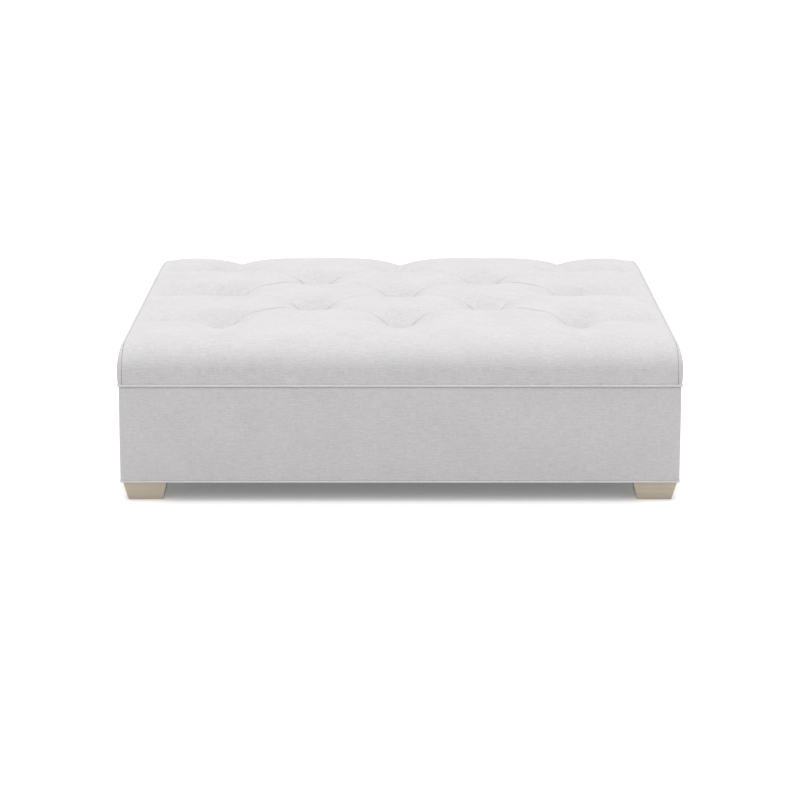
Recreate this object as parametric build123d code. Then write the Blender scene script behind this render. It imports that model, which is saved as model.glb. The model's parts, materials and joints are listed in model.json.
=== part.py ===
from build123d import *

import math
import os

# Square button-tufted storage ottoman used as a coffee table.
#
# A padded plywood box on four tapered oak feet carries a thick lid with a
# diamond-tufted cushion. The lid turns on a piano hinge along the back edge and
# is held up by a gas strut at each side.
#
# Millimetres. The origin is on the floor under the middle of the box. The front
# faces -Y, X runs from left to right and Z points up.

# Box
box_width = 1372.0
box_depth = 1372.0
rim_height = 286.0
box_corner_radius = 8.0
cover_thickness = 1.6
padding_thickness = 8.0
panel_thickness = 18.0
rim_edge_radius = 3.0
cover_turn_under = 35.0
cover_turn_in = 30.0
lining_thickness = 1.6
dust_cloth_thickness = 1.0
dust_cloth_inset = 12.0
rail_height = 40.0
rail_width = 30.0
floor_panel_thickness = 12.0
block_size = 100.0
block_chamfer = 45.0

# Feet
foot_height = 50.6
foot_top_size = 110.6
foot_bottom_size = 85.0
foot_inset = 2.9
foot_edge_radius = 3.0
foot_sole_chamfer = 1.2
bolt_radius = 4.0
bolt_depth_in_foot = 28.0
nut_barrel_radius = 5.5
nut_barrel_length = 9.0
nut_flange_radius = 11.0
nut_flange_thickness = 1.6

# Piping
welt_radius = 2.5
base_welt_radius = 2.0
base_welt_sink = 0.4
base_welt_inset = 0.8
lid_welt_proud = 0.1
tape_thickness = 1.0
lid_tape_width = 20.0
lid_tape_inset = 2.0

# Lid
split_gap = 2.5
deck_thickness = 15.0
deck_inset = 12.0
foam_thickness = 37.0
crest_height = 401.0
front_wall_height = 325.0
back_wall_height = 332.0
front_round_reach = 115.0
back_round_reach = 310.0
side_seam_inset = 7.5
side_wall_height = 349.0
side_seam_height = 382.0
side_round_reach = 250.0
side_back_reach = 290.0
side_bulge = 11.0
bulge_steps_share = ((0.0, 0.0), (0.07, 0.42), (0.2, 0.8), (0.45, 1.0))

# Tufts: three columns and two between them, five rows
column_pitch = 457.3
row_pitch = 183.5
row_count = 5
tuft_dip = 47.0
pleat_dip = 20.0
margin_dip = 20.0
back_margin_dip = 30.0
seat_width = 24.0
least_rise = 0.6
margin_shares = (0.0, 0.012, 0.05, 0.11, 0.2, 0.33, 0.5, 0.75)
steps_per_row = 4

# Buttons and their twines
button_radius = 11.0
button_edge = 2.0
button_height = 7.0
button_well_gap = 1.0
twine_radius = 1.5
twine_tail = 0.6
deck_twine_hole_radius = 4.0
foam_twine_hole_radius = 6.0
washer_radius = 12.0
washer_thickness = 2.0
washer_recess = 3.0

# Piano hinge
hinge_length = 1220.0
hinge_offset = 4.0
leaf_width = 32.0
leaf_thickness = 1.0
knuckle_radius = 2.5
knuckle_count = 24
knuckle_end_gap = 0.2
knuckle_back_gap = 0.4
pin_radius = 1.2
hinge_screw_count = 8
hinge_screw_stagger = 40.0
screw_radius = 1.75
screw_head_radius = 3.25
screw_head_depth = 1.5
hinge_screw_length = 12.5

# Gas struts, their pivots measured from the hinge's axis
strut_foot_back = 49.0
strut_foot_drop = 66.0
strut_head_reach = 245.0
strut_head_drop = 24.0
strut_inset = 13.0
tube_radius = 9.0
tube_wall = 2.0
tube_cap = 8.0
rod_radius = 4.0
piston_length = 8.0
piston_start = 2.0
lower_neck = 22.0
upper_neck = 26.0
eye_radius = 8.0
eye_side_room = 0.2
rivet_radius = 5.0
rivet_height = 1.5
collar_radius = 6.5
bracket_thickness = 2.5
base_plate_width = 26.0
base_plate_height = 50.0
base_screw_reach = 16.5
lid_plate_length = 36.0
lid_plate_width = 34.0
lid_screw_spacing = 20.0
lid_screw_edge = 9.0
ear_half_width = 10.0
pan_head_radius = 3.5
pan_head_height = 1.8
pan_screw_length = 14.0

# Clearances
run_gap = 0.05
side_gap = 0.3
soft_gap = 0.3
cut_over = 5.0

# Levels, from the floor up
turn_low = foot_height + dust_cloth_thickness
frame_low = turn_low + cover_thickness
floor_panel_low = frame_low + rail_height
floor_panel_high = floor_panel_low + floor_panel_thickness
frame_high = rim_height - cover_thickness
lid_low = rim_height + split_gap
deck_low = lid_low + tape_thickness
deck_high = deck_low + deck_thickness
foam_high = deck_high + foam_thickness
seat_height = crest_height - tuft_dip

# Half sizes in plan
half_width = box_width / 2
half_depth = box_depth / 2
cover_inset = cover_thickness
panel_inset = cover_inset + padding_thickness
inside_inset = panel_inset + panel_thickness
cavity_inset = inside_inset + lining_thickness
seam_half = half_width - side_seam_inset

# Hinge axis
axis_y = half_depth + hinge_offset
axis_z = rim_height + split_gap / 2
hinge_screw_y = half_depth - panel_inset - panel_thickness / 2

# Strut pivots
cavity_half_width = half_width - cavity_inset
strut_x = cavity_half_width - strut_inset
strut_foot = (axis_y - strut_foot_back, axis_z - strut_foot_drop)
strut_head = (axis_y - strut_head_reach, axis_z - strut_head_drop)
strut_length = math.dist(strut_foot, strut_head)
eye_half = rod_radius + eye_side_room


def block(x0, x1, y0, y1, z0, z1):
    """A box between two corners."""
    centre = Pos((x0 + x1) / 2, (y0 + y1) / 2, (z0 + z1) / 2)
    return centre * Box(x1 - x0, y1 - y0, z1 - z0)


def slab(inset, low, high, radius=0.0):
    """The box's plan outline, moved in by inset, between two levels."""
    wide = box_width - 2 * inset
    deep = box_depth - 2 * inset
    outline = RectangleRounded(wide, deep, radius) if radius > 0 else Rectangle(wide, deep)
    return extrude(Pos(0, 0, low) * outline, amount=high - low)


def rod(radius, low, high):
    """A cylinder along Z between two levels."""
    return Pos(0, 0, (low + high) / 2) * Cylinder(radius, high - low)


def cross_rod(radius, x0, x1):
    """A cylinder along X between two places."""
    return Pos((x0 + x1) / 2, 0, 0) * Rot(0, 90, 0) * Cylinder(radius, x1 - x0)


def ring_cord(inset, radius, height, corner):
    """A round cord that follows the box's plan outline."""
    outline = RectangleRounded(box_width - 2 * inset, box_depth - 2 * inset, corner)
    path = (Pos(0, 0, height) * outline).wire()
    profile = Plane(origin=path @ 0, z_dir=path % 0) * Circle(radius)
    return sweep(profile, path=path)


def save(name, *solids):
    """Write one node, as one solid or a group of separate ones."""
    shape = solids[0] if len(solids) == 1 else Compound(children=list(solids))
    export_step(shape, f"parts/{name}.step")


def single(shape):
    """The one solid of a result that is a compound."""
    return shape.solids()[0]


def mirrored(shape, x_sign, y_sign=1):
    """A shape made at +X and +Y, moved to the quarter with these signs."""
    if x_sign < 0:
        shape = mirror(shape, about=Plane.YZ)
    if y_sign < 0:
        shape = mirror(shape, about=Plane.XZ)
    return shape


def corners():
    """Name and signs of the four corners."""
    for y_name, y_sign in (("front", -1), ("back", 1)):
        for x_name, x_sign in (("left", -1), ("right", 1)):
            yield f"{y_name}_{x_name}", x_sign, y_sign


# Fasteners, with the head's face at the origin and the shank going down

def countersunk_screw(length):
    shank = rod(screw_radius, -length, -screw_head_depth)
    head = Pos(0, 0, -screw_head_depth / 2) * Cone(screw_radius, screw_head_radius, screw_head_depth)
    return single(shank + head)


def pan_screw(length):
    return single(rod(screw_radius, -length, 0) + rod(pan_head_radius, 0, pan_head_height))


# Base frame

def frame_panels():
    outer_x = half_width - panel_inset
    outer_y = half_depth - panel_inset
    inner_x = half_width - inside_inset
    inner_y = half_depth - inside_inset
    return {
        "base_front_panel": block(-outer_x, outer_x, -outer_y, -inner_y, frame_low, frame_high),
        "base_back_panel": block(-outer_x, outer_x, inner_y, outer_y, frame_low, frame_high),
        "base_left_panel": block(-outer_x, -inner_x, -inner_y, inner_y, frame_low, frame_high),
        "base_right_panel": block(inner_x, outer_x, -inner_y, inner_y, frame_low, frame_high),
    }


def floor_panel():
    return slab(inside_inset, floor_panel_low, floor_panel_high)


def foot_place(x_sign, y_sign):
    reach = foot_inset + foot_top_size / 2
    return Pos(x_sign * (half_width - reach), y_sign * (half_depth - reach), 0)


def corner_block():
    outer_x = half_width - inside_inset
    outer_y = half_depth - inside_inset
    inner_x = outer_x - block_size
    inner_y = outer_y - block_size
    wood = block(inner_x, outer_x, inner_y, outer_y, frame_low, floor_panel_low)
    upright = wood.edges().filter_by(Axis.Z)
    inner_edge = upright.sort_by(lambda edge: edge.center().X + edge.center().Y)[0]
    wood = chamfer(inner_edge, block_chamfer)
    return single(wood - foot_place(1, 1) * nut_void())


def rails():
    inner_x = half_width - inside_inset
    inner_y = half_depth - inside_inset
    run_x = inner_x - block_size
    run_y = inner_y - block_size
    low, high = frame_low, floor_panel_low
    return [
        block(-run_x, run_x, -inner_y, -inner_y + rail_width, low, high),
        block(-run_x, run_x, inner_y - rail_width, inner_y, low, high),
        block(-inner_x, -inner_x + rail_width, -run_y, run_y, low, high),
        block(inner_x - rail_width, inner_x, -run_y, run_y, low, high),
        block(-inner_x + rail_width, inner_x - rail_width, -rail_width / 2, rail_width / 2, low, high),
    ]


# Base soft parts

def base_padding():
    radius = box_corner_radius - cover_thickness
    return single(slab(cover_inset, frame_low, frame_high, radius) - slab(panel_inset, frame_low, frame_high))


def base_cover():
    skin = slab(0, turn_low, rim_height, box_corner_radius)
    top_edges = skin.faces().sort_by(Axis.Z)[-1].edges()
    skin = fillet(top_edges, rim_edge_radius)
    skin -= slab(cover_inset, frame_low, frame_high, box_corner_radius - cover_thickness)
    skin -= slab(cover_turn_under, turn_low - cut_over, frame_low + cut_over)
    skin -= slab(cavity_inset, frame_high - cut_over, rim_height + cut_over)
    turn_in = slab(inside_inset, rim_height - cover_turn_in, frame_high)
    turn_in -= slab(cavity_inset, rim_height - cover_turn_in, frame_high)
    return single(skin + turn_in)


def base_welt():
    height = foot_height - base_welt_radius + base_welt_sink
    cord = ring_cord(base_welt_inset, base_welt_radius, height, box_corner_radius - base_welt_inset)
    outer = slab(base_welt_inset, foot_height, turn_low, box_corner_radius - base_welt_inset)
    tape = outer - slab(dust_cloth_inset, foot_height, turn_low)
    return single(cord + tape)


def dust_cover():
    cloth = slab(dust_cloth_inset, foot_height, turn_low)
    for _, x_sign, y_sign in corners():
        cloth -= foot_place(x_sign, y_sign) * rod(bolt_radius + run_gap, 0, frame_low)
    return single(cloth)


def storage_lining():
    high = rim_height - cover_turn_in
    cloth = slab(inside_inset, floor_panel_high, high)
    return single(cloth - slab(cavity_inset, floor_panel_high + lining_thickness, high))


# Feet and their fasteners

def bolt():
    return rod(bolt_radius, foot_height - bolt_depth_in_foot, floor_panel_low - nut_flange_thickness)


def nut():
    top = floor_panel_low
    barrel = rod(nut_barrel_radius, top - nut_barrel_length, top)
    flange = rod(nut_flange_radius, top - nut_flange_thickness, top)
    return single(barrel + flange - rod(bolt_radius + run_gap, 0, top + cut_over))


def nut_void():
    """Room for a nut and its bolt in a corner block."""
    top = floor_panel_low
    barrel = rod(nut_barrel_radius, top - nut_barrel_length, top)
    flange = rod(nut_flange_radius, top - nut_flange_thickness, top)
    return barrel + flange + rod(bolt_radius + run_gap, 0, top)


def foot():
    sole = RectangleRounded(foot_bottom_size, foot_bottom_size, foot_edge_radius)
    head = Pos(0, 0, foot_height) * RectangleRounded(foot_top_size, foot_top_size, foot_edge_radius)
    wood = loft([sole.face(), head.face()], ruled=True)
    wood = chamfer(wood.faces().sort_by(Axis.Z)[0].edges(), foot_sole_chamfer)
    return single(wood - rod(bolt_radius, foot_height - bolt_depth_in_foot, foot_height + cut_over))


# Lid board, foam and cloth

def tuft_places():
    """The thirteen tufts: rows of three and of two in turn."""
    for row in range(row_count):
        y = (row - (row_count - 1) / 2) * row_pitch
        columns = (-1, 0, 1) if row % 2 == 0 else (-0.5, 0.5)
        for column in columns:
            yield column * column_pitch, y


def at_tufts(solid):
    return [Pos(x, y, 0) * solid for x, y in tuft_places()]


def lid_deck():
    board = slab(deck_inset, deck_low, deck_high)
    board -= at_tufts(rod(deck_twine_hole_radius, deck_low - cut_over, deck_high + cut_over))
    board -= at_tufts(rod(washer_radius, deck_low - cut_over, deck_low + washer_recess))
    return single(board)


def lid_foam():
    slab_foam = slab(deck_inset, deck_high, foam_high)
    slab_foam -= at_tufts(rod(foam_twine_hole_radius, deck_high - cut_over, foam_high + cut_over))
    return single(slab_foam)


def underside_cloth():
    inset = lid_tape_inset + lid_tape_width
    return slab(inset, lid_low, deck_low)


def lid_welt():
    height = lid_low + welt_radius
    corner = box_corner_radius
    cord = ring_cord(-lid_welt_proud, welt_radius, height, corner + lid_welt_proud)
    outer = slab(lid_tape_inset, lid_low, deck_low, corner - lid_tape_inset)
    tape = outer - slab(lid_tape_inset + lid_tape_width, lid_low, deck_low)
    return single(cord + tape)


# Tufted cushion

def rise(y_front, front_reach, back_reach):
    """Share of a quarter ellipse's height, at a distance behind the front face."""
    reach = front_reach if y_front < half_depth else back_reach
    gap = min(y_front, box_depth - y_front)
    t = min(gap / reach, 1)
    return math.sqrt(max(1 - (1 - t) ** 2, 0))


def crown_height(y_front):
    """Top of the cushion's middle, at a distance behind the front face."""
    share = rise(y_front, front_round_reach, back_round_reach)
    wall = front_wall_height if y_front < half_depth else back_wall_height
    return wall + (crest_height - wall) * share


def side_height(y_front):
    """Top of the side seam, at a distance behind the front face."""
    share = rise(y_front, side_round_reach, side_back_reach)
    return side_wall_height + (side_seam_height - side_wall_height) * share


first_row_gap = half_depth - row_pitch * (row_count - 1) / 2


def stations():
    """Distances from the front face, each with its place in the rows."""
    front = [(share * first_row_gap, None) for share in margin_shares]
    steps = (row_count - 1) * steps_per_row
    rows = [(first_row_gap + row_pitch * k / steps_per_row, k / steps_per_row) for k in range(steps + 1)]
    back = [(box_depth - gap, None) for gap, _ in reversed(front)]
    return front + rows + back


def pleat_dip_at(place, y_front):
    """How far a pleat line lies under the crown."""
    if place is None:
        gap = min(y_front, box_depth - y_front)
        dip = margin_dip if y_front < half_depth else back_margin_dip
        return dip * gap / first_row_gap
    off_row = 2 * abs(place - round(place))
    return pleat_dip + (tuft_dip - pleat_dip) * (1 - off_row) ** 1.5


def cushion_section(y_front, place):
    """One upright slice across the cushion: five puffs between four pleats."""
    gap = min(y_front, box_depth - y_front)
    crown = crown_height(y_front)
    swing = 0.0 if place is None else 1 - abs(place % 2 - 1)
    slide = swing * (column_pitch / 2 - seat_width)
    inner = seat_width / 2 + slide
    outer = column_pitch - seat_width / 2 - slide
    dip = pleat_dip_at(place, y_front)
    pleats = [(x, crown - dip) for x in (-outer, -inner, inner, outer)]
    edge = (seam_half, side_height(y_front))
    points = [(-edge[0], edge[1])] + pleats + [edge]
    y = y_front - half_depth
    lines = [
        Line((-edge[0], y, deck_low), (edge[0], y, deck_low)),
        Line((edge[0], y, deck_low), (edge[0], y, edge[1])),
        Line((-edge[0], y, edge[1]), (-edge[0], y, deck_low)),
    ]
    for k, ((x0, z0), (x1, z1)) in enumerate(zip(points, points[1:])):
        middle = (z0 + z1) / 2
        if k in (0, len(points) - 2):
            puff = swing if place is not None else 0
            top = middle + (crown - pleat_dip - middle) * (1 - puff) + (crown - middle) * puff
            top = max(top, middle + least_rise) if place is not None else middle + margin_rise(gap)
        else:
            part = (x1 - x0 - seat_width) / (column_pitch - 2 * seat_width)
            full = 1 - (1 - min(max(part, 0), 1)) ** 3
            top = max(middle + (crown - middle) * full, middle + least_rise)
        lines.append(ThreePointArc((x0, y, z0), ((x0 + x1) / 2, y, top), (x1, y, z1)))
    return Face(Wire(lines))


def margin_rise(gap):
    """Crown of the outer puffs in front of the first row."""
    return least_rise + (pleat_dip - least_rise) * gap / first_row_gap / 2


def tufted_top():
    body = Solid.make_loft([cushion_section(y, place).outer_wire() for y, place in stations()], ruled=True)
    body -= slab(deck_inset, deck_low - cut_over, foam_high)
    groove_high = lid_low + 2 * welt_radius + soft_gap
    groove_inset = welt_radius - lid_welt_proud + soft_gap
    groove = slab(-cut_over, deck_low - cut_over, groove_high)
    groove -= slab(groove_inset, deck_low - cut_over, groove_high, box_corner_radius - groove_inset)
    body -= groove
    body -= at_tufts(rod(button_radius + button_well_gap, seat_height, crest_height + cut_over))
    body -= at_tufts(rod(twine_radius + run_gap, foam_high - cut_over, seat_height + cut_over))
    return single(body)


def side_panel(sign):
    """A boxed border that swells out between its seams."""
    low = lid_low + 2 * welt_radius + soft_gap
    places = [y for y, place in stations() if place is None or place in (0, row_count - 1)]
    levels = []
    for inset_share, out_share in bulge_steps_share:
        inset = inset_share * (side_wall_height - low)
        x = sign * (seam_half + soft_gap + out_share * side_bulge)
        squeeze = 1 - 2 * inset / box_depth
        tops = [((y - half_depth) * squeeze, side_height(y) - inset) for y in places]
        first, last = tops[0][0], tops[-1][0]
        points = [(x, first, low + inset)] + [(x, y, z) for y, z in tops] + [(x, last, low + inset)]
        levels.append(Wire.make_polygon([Vector(*p) for p in points], close=True))
    return Solid.make_loft(levels, ruled=True)


# Buttons, twines and washers

def tuft_button():
    dome = button_height - button_edge
    ball_radius = (button_radius ** 2 + dome ** 2) / (2 * dome)
    ball = Pos(0, 0, button_height - ball_radius) * Sphere(ball_radius)
    return Pos(0, 0, seat_height) * single(rod(button_radius, 0, button_height) & ball)


def tuft_twine():
    return rod(twine_radius, deck_low + twine_tail, seat_height)


def twine_washer():
    top = deck_low + washer_recess
    disc = rod(washer_radius, top - washer_thickness, top)
    return single(disc - rod(twine_radius + run_gap, top - cut_over, top + cut_over))


# Piano hinge

def hinge_leaf(first, low, high):
    """A flat leaf with every second knuckle, open at the others."""
    plate_back = axis_y - knuckle_radius - knuckle_back_gap
    tab_back = axis_y - (pin_radius + run_gap + knuckle_radius) / 2
    leaf = block(-hinge_length / 2, hinge_length / 2, axis_y - leaf_width, plate_back, low, high)
    pitch = hinge_length / knuckle_count
    for k in range(first, knuckle_count, 2):
        x0 = -hinge_length / 2 + k * pitch + knuckle_end_gap
        x1 = x0 + pitch - 2 * knuckle_end_gap
        leaf += block(x0, x1, plate_back - knuckle_radius, tab_back, low, high)
        leaf += Pos(0, axis_y, axis_z) * cross_rod(knuckle_radius, x0, x1)
    bore = cross_rod(pin_radius + run_gap, -hinge_length / 2 - cut_over, hinge_length / 2 + cut_over)
    return single(leaf - Pos(0, axis_y, axis_z) * bore)


def hinge_screws(height, turn, shift):
    pitch = hinge_length / hinge_screw_count
    screw = Rot(turn, 0, 0) * countersunk_screw(hinge_screw_length)
    places = [(k - (hinge_screw_count - 1) / 2) * pitch + shift for k in range(hinge_screw_count)]
    return [Pos(x, hinge_screw_y, height) * screw for x in places]


# Gas struts

def strut_frame(sign):
    """Along the strut from its lower pivot, with X as the object's own."""
    along = (0, strut_head[0] - strut_foot[0], strut_head[1] - strut_foot[1])
    return Plane(origin=(sign * strut_x, *strut_foot), x_dir=(1, 0, 0), z_dir=along)


def strut_tube(sign):
    top = strut_length - upper_neck
    body = rod(tube_radius, lower_neck, top)
    body = fillet(body.edges(), tube_wall)
    body += cross_rod(eye_radius, -eye_half, eye_half)
    body += rod(rod_radius, 0, lower_neck)
    body -= cross_rod(rod_radius + run_gap, -eye_half - cut_over, eye_half + cut_over)
    body -= rod(tube_radius - tube_wall, lower_neck + tube_wall, top - tube_cap)
    body -= rod(rod_radius + run_gap, lower_neck + tube_wall, top + cut_over)
    return single(strut_frame(sign) * body)


def strut_rod(sign):
    start = lower_neck + tube_wall + piston_start
    body = rod(rod_radius, start, strut_length)
    body += rod(tube_radius - tube_wall - run_gap, start, start + piston_length)
    body += Pos(0, 0, strut_length) * cross_rod(eye_radius, -eye_half, eye_half)
    rivet = cross_rod(rivet_radius, -eye_half - rivet_height, -eye_half)
    body += Pos(0, 0, strut_length) * Rot(0, 0, 0 if sign > 0 else 180) * rivet
    return single(strut_frame(sign) * body)


def base_bracket(sign):
    """A plate on the box's side with the pin that the strut turns on."""
    face = cavity_half_width
    y, z = strut_foot
    plate = block(
        face - bracket_thickness, face,
        y - base_plate_width / 2, y + base_plate_width / 2,
        z - base_plate_height / 2, z + base_plate_height / 2,
    )
    corner_edges = plate.edges().filter_by(Axis.X)
    plate = fillet(corner_edges, rivet_radius)
    eye_out = strut_x + eye_half + side_gap
    eye_in = strut_x - eye_half - side_gap
    plate += Pos(0, y, z) * cross_rod(collar_radius, eye_out, face - bracket_thickness)
    plate += Pos(0, y, z) * cross_rod(rod_radius, eye_in - rivet_height, face - bracket_thickness)
    plate += Pos(0, y, z) * cross_rod(collar_radius, eye_in - rivet_height, eye_in)
    return single(mirrored(plate, sign))


def base_bracket_screws(sign):
    face = sign * (cavity_half_width - bracket_thickness)
    y, z = strut_foot
    screw = Rot(0, -90 * sign, 0) * pan_screw(pan_screw_length)
    return [Pos(face, y, z + side * base_screw_reach) * screw for side in (-1, 1)]


def lid_bracket(sign):
    """An angle under the lid whose ear stands beside the rod's eye."""
    y, z = strut_head
    ear_in = strut_x + eye_half + side_gap
    ear_out = ear_in + bracket_thickness
    plate_low = lid_low - bracket_thickness
    half_plate = lid_plate_width / 2
    bracket = block(ear_out - lid_plate_length, ear_out, y - half_plate, y + half_plate, plate_low, lid_low)
    bracket += block(ear_in, ear_out, y - ear_half_width, y + ear_half_width, z, lid_low)
    bracket += Pos(0, y, z) * cross_rod(ear_half_width, ear_in, ear_out)
    bracket += Pos(0, y, z) * cross_rod(rivet_radius, ear_out, ear_out + rivet_height)
    return single(mirrored(bracket, sign))


def lid_bracket_screws(sign):
    y = strut_head[0]
    ear_out = strut_x + eye_half + side_gap + bracket_thickness
    x = sign * (ear_out - lid_plate_length + lid_screw_edge)
    screw = Rot(180, 0, 0) * pan_screw(pan_screw_length)
    low = lid_low - bracket_thickness
    return [Pos(x, y + side * lid_screw_spacing / 2, low) * screw for side in (-1, 1)]


def without(shape, tools):
    """What is left of a piece where its fasteners go in."""
    for tool in tools:
        shape = shape - tool
    return single(shape)


def main():
    os.makedirs("parts", exist_ok=True)

    base_leaf_screws = hinge_screws(rim_height + leaf_thickness, 0, -hinge_screw_stagger / 2)
    lid_leaf_screws = hinge_screws(lid_low - leaf_thickness, 180, hinge_screw_stagger / 2)
    side_screws = {sign: base_bracket_screws(sign) for sign in (-1, 1)}
    lid_screws = {sign: lid_bracket_screws(sign) for sign in (-1, 1)}

    panels = frame_panels()
    panels["base_back_panel"] = without(panels["base_back_panel"], base_leaf_screws)
    panels["base_left_panel"] = without(panels["base_left_panel"], side_screws[-1])
    panels["base_right_panel"] = without(panels["base_right_panel"], side_screws[1])
    for name, panel in panels.items():
        save(name, panel)
    save("bottom_rails", *rails())
    save("base_bottom_panel", floor_panel())
    save("corner_blocks", *[mirrored(corner_block(), x_sign, y_sign) for _, x_sign, y_sign in corners()])
    save("base_padding", base_padding())
    save("base_cover", without(base_cover(), base_leaf_screws))
    save("base_welt", base_welt())
    save("storage_lining", without(storage_lining(), side_screws[-1] + side_screws[1]))
    save("dust_cover", dust_cover())

    for name, x_sign, y_sign in corners():
        save(f"foot_{name}", foot_place(x_sign, y_sign) * foot())
    save("foot_bolts", *[foot_place(x_sign, y_sign) * bolt() for _, x_sign, y_sign in corners()])
    save("foot_nuts", *[foot_place(x_sign, y_sign) * nut() for _, x_sign, y_sign in corners()])

    all_lid_screws = lid_leaf_screws + lid_screws[-1] + lid_screws[1]
    save("lid_deck", without(lid_deck(), all_lid_screws))
    save("lid_foam", lid_foam())
    save("tufted_top", tufted_top())
    save("lid_side_panel_left", side_panel(-1))
    save("lid_side_panel_right", side_panel(1))
    save("lid_welt", without(lid_welt(), lid_leaf_screws))
    save("lid_underside_cloth", without(underside_cloth(), lid_screws[-1] + lid_screws[1]))
    save("tuft_buttons", *at_tufts(tuft_button()))
    save("tuft_twines", *at_tufts(tuft_twine()))
    save("twine_washers", *at_tufts(twine_washer()))

    base_leaf = hinge_leaf(0, rim_height, rim_height + leaf_thickness)
    lid_leaf = hinge_leaf(1, lid_low - leaf_thickness, lid_low)
    save("hinge_base_leaf", without(base_leaf, base_leaf_screws))
    save("hinge_lid_leaf", without(lid_leaf, lid_leaf_screws))
    save("hinge_pin", Pos(0, axis_y, axis_z) * cross_rod(pin_radius, -hinge_length / 2, hinge_length / 2))
    save("hinge_base_screws", *base_leaf_screws)
    save("hinge_lid_screws", *lid_leaf_screws)

    for side, sign in (("left", -1), ("right", 1)):
        save(f"strut_{side}_tube", strut_tube(sign))
        save(f"strut_{side}_rod", strut_rod(sign))
    save("strut_base_brackets", *[without(base_bracket(sign), side_screws[sign]) for sign in (-1, 1)])
    save("strut_base_screws", *(side_screws[-1] + side_screws[1]))
    save("strut_lid_brackets", *[without(lid_bracket(sign), lid_screws[sign]) for sign in (-1, 1)])
    save("strut_lid_screws", *(lid_screws[-1] + lid_screws[1]))


main()
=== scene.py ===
import json
import math

import bpy
import numpy as np
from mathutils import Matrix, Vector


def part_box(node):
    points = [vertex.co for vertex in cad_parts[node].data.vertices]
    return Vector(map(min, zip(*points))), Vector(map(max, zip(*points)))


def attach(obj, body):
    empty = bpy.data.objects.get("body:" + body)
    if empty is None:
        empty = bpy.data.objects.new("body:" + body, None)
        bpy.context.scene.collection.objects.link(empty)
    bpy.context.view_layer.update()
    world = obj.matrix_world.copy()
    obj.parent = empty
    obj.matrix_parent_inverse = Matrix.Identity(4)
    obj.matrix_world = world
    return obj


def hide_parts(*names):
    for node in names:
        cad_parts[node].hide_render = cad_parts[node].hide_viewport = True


# A square button-tufted storage ottoman in pale grey linen, on washed oak feet.
# Metres. The front faces -Y, X runs from left to right and Z points up.

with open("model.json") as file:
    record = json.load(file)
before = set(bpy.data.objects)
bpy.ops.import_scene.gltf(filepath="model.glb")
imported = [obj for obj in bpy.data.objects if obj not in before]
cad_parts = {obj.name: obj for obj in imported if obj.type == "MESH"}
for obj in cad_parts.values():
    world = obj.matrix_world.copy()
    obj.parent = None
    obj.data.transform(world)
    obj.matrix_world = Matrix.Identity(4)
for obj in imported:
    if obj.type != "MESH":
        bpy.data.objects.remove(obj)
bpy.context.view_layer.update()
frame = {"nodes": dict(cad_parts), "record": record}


# Sizes taken from the frame

def heights(node):
    """The lowest and the highest level of a node."""
    low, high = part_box(node)
    return low.z, high.z


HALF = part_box("base_cover")[1].x
COVER_LOW, RIM = heights("base_cover")
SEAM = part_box("tufted_top")[1].x
PANEL_LOW, SIDE_SEAM_TOP = heights("lid_side_panel_right")
PANEL_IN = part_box("lid_side_panel_right")[0].x
LID_LOW, DECK_LOW = heights("lid_underside_cloth")
LID_CLOTH_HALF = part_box("lid_underside_cloth")[1].x
FOAM_LOW, FOAM_HIGH = heights("lid_foam")
FOAM_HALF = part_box("lid_foam")[1].x
BUTTON_LOW, BUTTON_HIGH = heights("tuft_buttons")
TWINE_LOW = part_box("tuft_twines")[0].z
PADDING_LOW, PADDING_HIGH = heights("base_padding")
BOX_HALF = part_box("base_front_panel")[1].x
FLOOR_CLOTH_LOW, LINING_HIGH = heights("storage_lining")
LINING_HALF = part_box("storage_lining")[1].x
DUST_LOW, DUST_HIGH = heights("dust_cover")
DUST_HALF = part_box("dust_cover")[1].x

# The cushion's crown and edges
CREST = 0.401
WALL_TOP = 0.325
BACK_WALL_TOP = 0.332
SIDE_BACK_WALL_TOP = 0.349
FRONT_REACH = 0.112
BACK_REACH = 0.310
SIDE_FRONT_REACH = 0.076
SIDE_BACK_REACH = 0.290
SIDE_RISE = 0.004
SIDE_ROLL = 0.150
SEAM_PULL = 0.0025
SEAM_PULL_REACH = 0.070
SEAM_PULL_POWER = 6
SEAM_TUCK = 0.0012
SEAM_STEPS = (0.0, 0.0004, 0.0010, 0.0018, 0.0030, 0.0048)
GROOVE_DEPTH = 0.0017
GROOVE_LIP = 0.0050
LIP_POWER = 8
LEAST_FILLING = 0.004

# Tufts and the pleats between them
BUTTON_RADIUS = 0.011
COLUMN_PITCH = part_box("tuft_buttons")[1].x - BUTTON_RADIUS
ROW_PITCH = (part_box("tuft_buttons")[1].y - BUTTON_RADIUS) / 2
ROWS_HALF = 2 * ROW_PITCH
SEAT_WIDTH = 0.024
SEAT_RADIUS = 0.012
PIT_DEPTH = CREST - BUTTON_LOW
PIT_REACH = 0.112
PIT_POWER = 2.6
CREASE_DEPTH = 0.008
CREASE_HALF_WIDTH = 0.008
CREASE_MIDDLE = 0.4
CREASE_FADE = 0.070
PUFF_DOME = 0.003
PUFF_FADE = 0.010
GATHER_HEIGHT = 0.0007
GATHER_COUNT = 13
GATHER_TURN = 1.7
GATHER_PEAK = 0.020
GATHER_REACH = 0.022
UNEVENNESS = 0.0010
UNEVEN_FADE = 0.020

# Valleys from the front and back rows of tufts to the falls: depth, length, half width and power.
# The back ones differ in depth by the column of their tuft.
FRONT_VALLEY = (0.0275, 0.230, 0.062, 1.5)
FRONT_VALLEY_FLAT = 0.011
BACK_VALLEY_DEPTHS = {-1: 0.030, 0: 0.034, 1: 0.030}
BACK_VALLEY = (0.500, 0.200, 3.2)
BACK_CREASE = (0.0045, 0.500, 0.016, 2.0)

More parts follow.
